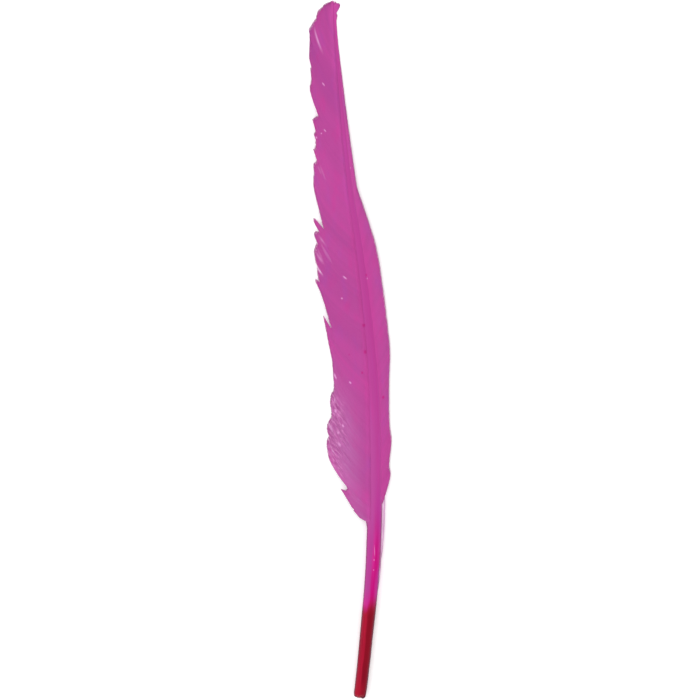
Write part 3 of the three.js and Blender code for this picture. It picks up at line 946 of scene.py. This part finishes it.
def vane_material(mottling, mark):
    settings = {"Specular IOR Level": 0.15, "Sheen Weight": 0.06}
    material, graph, shader = new_material("dyed_vane", settings)
    step, mix, times, minus = graph.step, graph.mix, graph.times, graph.minus
    place = graph.node("ShaderNodeTexCoord").outputs["Object"]
    patches = graph.node("ShaderNodeGroup", {
        "Place": graph.vector("MULTIPLY", place, (1, 0.35, 1)), "Dye": DYE,
        "Warmer": DYE_PINK, "Cooler": DYE_PURPLE, "Patch size": 0.004, "Amount": 0.65,
    }, node_tree=mottling)
    colour = patches.outputs["Colour"]
    tone = graph.attribute("tone")
    colour = mix(step(tone, 0.55, 0.95, 0, 0.35), colour, DYE_PINK)
    colour = mix(step(tone, 0.45, 0.05, 0, 0.35), colour, DYE_PURPLE)
    along, breadth = graph.attribute("along"), graph.attribute("breadth")
    aside = times(along, breadth)
    y = graph.math("DIVIDE", graph.separate(place)[1], MM)

    # Towards the quill the barbs are paler, but the lowest ones keep their dye at the tips.
    paleness = times(graph.attribute("pale"), step(along, 0, 0.5))
    kept = times(step(along, 0.6, 0.95), step(y, -37, -50, 0, 0.75))
    colour = mix(times(paleness, minus(1, kept)), colour, PALE_DYE_AND_LIGHT)

    # Where the edge is loose it is paler, in broken strokes that follow the barbs.
    fuzz = times(graph.attribute("fuzz"), step(along, 0.35, 0.8))
    lengthwise = graph.vector("DOT_PRODUCT", place, LOOSE_BARBS_RUN)
    crosswise = graph.vector("DOT_PRODUCT", place, LOOSE_BARBS_BESIDE)
    strokes = graph.noise(graph.combine(lengthwise, crosswise, 0), 1300, 3)
    for share, paint in (
        (step(strokes, 0.4, 0.52, 0.2, 0.8), DYE_FUZZ),
        (step(strokes, 0.52, 0.68, 0, 0.8), DYE_FUZZ_LIGHT),
        (step(strokes, 0.46, 0.36, 0, 0.55), DYE_FUZZ_DARK),
    ):
        colour = mix(times(fuzz, share), colour, paint)
    # Painted light shows through, pale, beside the openings.
    colour = mix(graph.attribute("gap"), colour, PALE_WEAR_AND_LIGHT)

    # The dye is pinker beside the shaft and low on the narrow vane, and painted shade darkens the
    # edge.
    band = times(step(aside, 2.8, 0.8), step(y, -45, -15, 0, 0.75))
    colour = mix(times(band, step(y, 75, 35)), colour, DYE_BAND)
    narrow = graph.attribute("narrow")
    low_narrow = times(narrow, step(y, -20, -50, 0, 0.5))
    colour = mix(low_narrow, colour, DYE_BAND)
    rim = step(minus(breadth, aside), 0.5, 0.1, 0, 0.75)
    colour = mix(times(rim, step(breadth, 0.3, 1.3)), colour, EDGE_SHADE)

    # Each barb has a shade of its own, and painted light makes it paler where it leaves the shaft,
    # against the shade in the crease there.
    crease_fill_light = mix(narrow, step(y, 0, 60, 1.14, 1.09), 1.06, "FLOAT")
    shade = step(tone, 0, 1, 0.93, 1.07)
    shade = times(shade, step(aside, 2.2, 0.4, 1, crease_fill_light))
    colour = mix(1, colour, graph.combine(shade, shade, shade), blend_type="MULTIPLY")
    colour = with_marks(graph, colour, place, mark, PALE_STREAKS, PALE_WEAR_AND_LIGHT, 0.16)
    colour = with_marks(graph, colour, place, mark, PALE_MARKS, PALE_WEAR_AND_LIGHT, 0.7)
    colour = with_marks(graph, colour, place, mark, DARK_SPECKS, SPECK, 0.75)
    finish(graph, shader, colour, graph.noise(place, 2600), (0.52, 0.72), 0.25, 0.00004)
    return material


# The dark red dye ends higher on the right of the quill than on the left, and fades out
# there over a longer stretch.
RED_TOP_LEFT = -113.4
RED_TOP_RIGHT = -110.2
RED_FADE_LEFT = 5.5
RED_FADE_RIGHT = 9.0


def shaft_material(mottling, mark):
    material, graph, shader = new_material("dyed_quill", {"Specular IOR Level": 0.3})
    step, mix, times, minus = graph.step, graph.mix, graph.times, graph.minus
    place = graph.node("ShaderNodeTexCoord").outputs["Object"]
    across = graph.attribute("rightness")
    grain = graph.attribute("grain", "Vector")
    streaks = graph.noise(grain, 2.2, 4, 0.6)
    wander = minus(streaks, 0.5)
    ragged = graph.plus(across, times(wander, 0.5))
    y = graph.math("DIVIDE", minus(graph.separate(place)[1], float(SHIFT[1])), MM)

    # Below the vanes the quill is purple on the left, with a hot pink band that drifts to
    # the right and widens on its way down. The purple turns pink above the red, and towards
    # the vanes gives way to the shaft's painted highlight.
    left = mix(step(y, -104, -113), QUILL_LEFT, QUILL_PINK)
    left = mix(step(y, -90, -62), left, SHAFT_HIGHLIGHT)
    drift = step(y, -62, -84, 0.2, 0.46)
    drift = minus(drift, step(y, -90, -100, 0, 0.16))
    off_band = minus(ragged, drift)
    quill = mix(step(off_band, -0.45, 0.3), left, QUILL_RIGHT)
    band_width = step(y, -84, -97, 0.5, 0.56)
    off_band = graph.math("DIVIDE", graph.math("ABSOLUTE", off_band), band_width)
    hot = times(step(off_band, 1.3, 0.25), step(y, -58, -96, 0.05, 1))
    quill = mix(hot, quill, QUILL_HOT)
    # A painted highlight runs down the middle of the quill above the red.
    off_painted_sheen = graph.math("ABSOLUTE", minus(ragged, 0.1))
    painted_sheen = times(step(off_painted_sheen, 0.32, 0.05, 0, 0.55), step(y, -74, -86))
    quill = mix(times(painted_sheen, step(y, -102, -93)), quill, QUILL_HIGHLIGHT)

    # Between the vanes the shaft has painted shade on its right half, which fades towards
    # the tip, and a painted highlight on its left towards the quill.
    left = mix(step(y, -8, -40), SHAFT_DYE, SHAFT_HIGHLIGHT)
    painted_shade_right = times(step(ragged, -0.35, 0.5), step(y, 90, 10, 0.2, 0.9))
    shaft = mix(painted_shade_right, left, SHAFT_SHADE)
    patches = graph.node("ShaderNodeGroup", {
        "Place": grain, "Dye": mix(step(y, -88, -52), quill, shaft),
        "Warmer": DYE_PINK, "Cooler": DYE_PURPLE, "Patch size": 1.5, "Amount": 0.3,
    }, node_tree=mottling)
    colour = patches.outputs["Colour"]

    # The red dye, with painted shade on its right side, and long darker streaks.
    rightward = step(across, -0.35, 0.1)
    edge = mix(rightward, RED_TOP_LEFT, RED_TOP_RIGHT, "FLOAT")
    edge = graph.plus(edge, times(wander, 3))
    fade = mix(rightward, RED_FADE_LEFT, RED_FADE_RIGHT, "FLOAT")
    redness = graph.math("DIVIDE", minus(edge, y), fade)
    red_shade_amount = times(step(ragged, -0.3, 0.1), step(redness, -0.1, 0.8))
    red = mix(red_shade_amount, RED_LEFT, RED_SHADED_RIGHT)
    long_streaks = graph.noise(graph.vector("MULTIPLY", grain, (1, 0.2, 1)), 3.5, 4, 0.6)
    red = mix(step(long_streaks, 0.45, 0.7, 0, 0.55), red, RED_DARK)
    reddened = step(redness, -0.5, 0.5)
    colour = mix(reddened, colour, red)

    # Painted shade darkens the sides, a painted highlight brightens the cut end, and its very end
    # is darker on the right.
    outwards = graph.math("ABSOLUTE", across)
    beside = times(step(outwards, 0.75, 0.96), step(y, -60, -75, 0, 0.6))
    colour = mix(beside, colour, SIDE_SHADE)
    beside = times(step(outwards, 0.55, 0.95, 0, 0.5), reddened)
    colour = mix(beside, colour, RED_SIDE_SHADE)
    cut = times(step(y, -143, -149.5, 0, 0.65), step(ragged, 0.75, 0))
    colour = mix(times(cut, step(outwards, 0.95, 0.6)), colour, RED_CUT_HIGHLIGHT)
    worn = times(step(y, -151.3, -153, 0, 0.6), step(ragged, 0.1, 0.45, 0.1))
    colour = mix(worn, colour, CUT_DARK)

    # The painted glints and the dark specks are on the upper side only.
    upper = step(graph.separate(grain)[2], -0.3, 0.9)
    glint_amount = times(upper, 0.38)
    colour = with_marks(graph, colour, place, mark, PAINTED_GLINTS, PALE_WEAR_AND_LIGHT, glint_amount)
    colour = with_marks(graph, colour, place, mark, DARK_SPECKS, SPECK, upper)
    graph.put(colour, shader.inputs["Specular Tint"])
    finish(graph, shader, colour, streaks, (0.3, 0.46), 0.35, 0.00012)
    return material


# The painted reflection on the quill's flank: pale, mauve towards its outer edge and in streaks
# along it, and pinker where it meets the quill.
def reflection_band_material():
    material, graph, shader = new_material("painted_reflection_band", {})
    step, mix = graph.step, graph.mix
    place = graph.node("ShaderNodeTexCoord").outputs["Object"]
    outward = graph.attribute("outward")
    band_streaks = graph.noise(graph.vector("MULTIPLY", place, (1, 0.15, 1)), 2500, 3)
    colour = mix(step(outward, 0.55, 0.95), REFLECTION_PALE, REFLECTION_MAUVE)
    colour = mix(step(outward, 0.45, 0), colour, REFLECTION_ROOT)
    colour = mix(step(band_streaks, 0.45, 0.7, 0, 0.4), colour, REFLECTION_MAUVE)
    finish(graph, shader, colour, band_streaks, (0.35, 0.55), 0.3, 0.0001)
    return material


def give(piece, material):
    """Makes this the only material of a piece."""
    piece.data.materials.clear()
    piece.data.materials.append(material)


FLOOR_HALF = 3.0  # half the floor's side, in metres
FLOOR_DROP = 0.00003


def add_stage():
    signs = ((-1, -1), (1, -1), (1, 1), (-1, 1))
    corners = [[x * FLOOR_HALF, y * FLOOR_HALF, -FLOOR_DROP] for x, y in signs]
    floor = new_mesh("floor", corners, [[0, 1, 2, 3]])
    material, _, _ = new_material("pale_floor", {
        "Base Color": (0.97, 0.97, 0.97, 1.0), "Roughness": 0.9, "Specular IOR Level": 0.1,
        "Emission Color": (1.0, 1.0, 1.0, 1.0), "Emission Strength": 0.18,
    })
    give(floor, material)


def add_lights():
    """An even white surround, and one large soft lamp."""
    world = bpy.data.worlds.new("studio")
    world.use_nodes = True
    background = world.node_tree.nodes["Background"]
    background.inputs["Color"].default_value = (1.0, 1.0, 1.0, 1.0)
    background.inputs["Strength"].default_value = 1.0
    bpy.context.scene.world = world
    light = bpy.data.lights.new("key", "AREA")
    light.shape, light.size, light.energy = "DISK", 1.6, 6.0
    lamp = new_object("key", light)
    lamp.location = (-0.7, 0.5, 1.5)
    lamp.rotation_euler = (-lamp.location).to_track_quat("-Z", "Y").to_euler()


PHOTO_PIXEL = 0.44  # millimetres to a pixel of the photograph
PHOTO_SIDE = 700
PHOTO_CENTRE = (-0.04, -0.18)
LENS = 100.0
SENSOR = 36.0


def add_camera():
    """Straight down on the feather, from as far as a long lens needs to frame it."""
    data = bpy.data.cameras.new("camera")
    data.lens, data.sensor_width = LENS, SENSOR
    camera = new_object("camera", data)
    view_width = PHOTO_PIXEL * PHOTO_SIDE * MM
    x, y, _ = to_frame([*PHOTO_CENTRE, 0])
    camera.location = (x, y, view_width * LENS / SENSOR)
    bpy.context.scene.camera = camera


BARB_SHAPE = {
    "Sides": 6, "Height at root": 0.045 * MM, "Height at tip": 0.045 * MM,
    "Tilt": 0.025 * MM, "Tip width": 0.45, "Tip sharpness": 30.0, "Waviness": 1.0,
}


def build():
    mottling, mark = mottling_group(), mark_group()
    vane_finish, quill_finish = vane_material(mottling, mark), shaft_material(mottling, mark)
    tree = barb_tree()
    long = BARB_SHAPE | {"Segments": 12, "Seed": 1.0, "Material": vane_finish}
    short = BARB_SHAPE | {"Segments": 8, "Seed": 2.0, "Material": vane_finish}
    trailing = vane_roots(
        TRAILING, TRAILING_SLITS, 11, (7, 22), 0.05, trailing_fuzz, lower_paleness, 0.0
    )
    # The narrow vane's tone and paleness are lifted by painted light, as it slopes away from the
    # lamp.
    leading = vane_roots(LEADING, [], 12, (10, 30), 0.01, none, even_painted_paleness, 0.2)
    pieces = {
        grown("trailing_vane", tree, trailing, long): "vane",
        grown("leading_vane", tree, leading, short): "vane",
        shaft_piece(quill_finish): "quill",
        reflection_band_piece(reflection_band_material()): "quill",
    }
    for piece, slot in pieces.items():
        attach(piece, "root")
        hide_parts("feather")


build()
add_stage()
add_lights()
add_camera()
bpy.context.scene.view_settings.view_transform = "Standard"
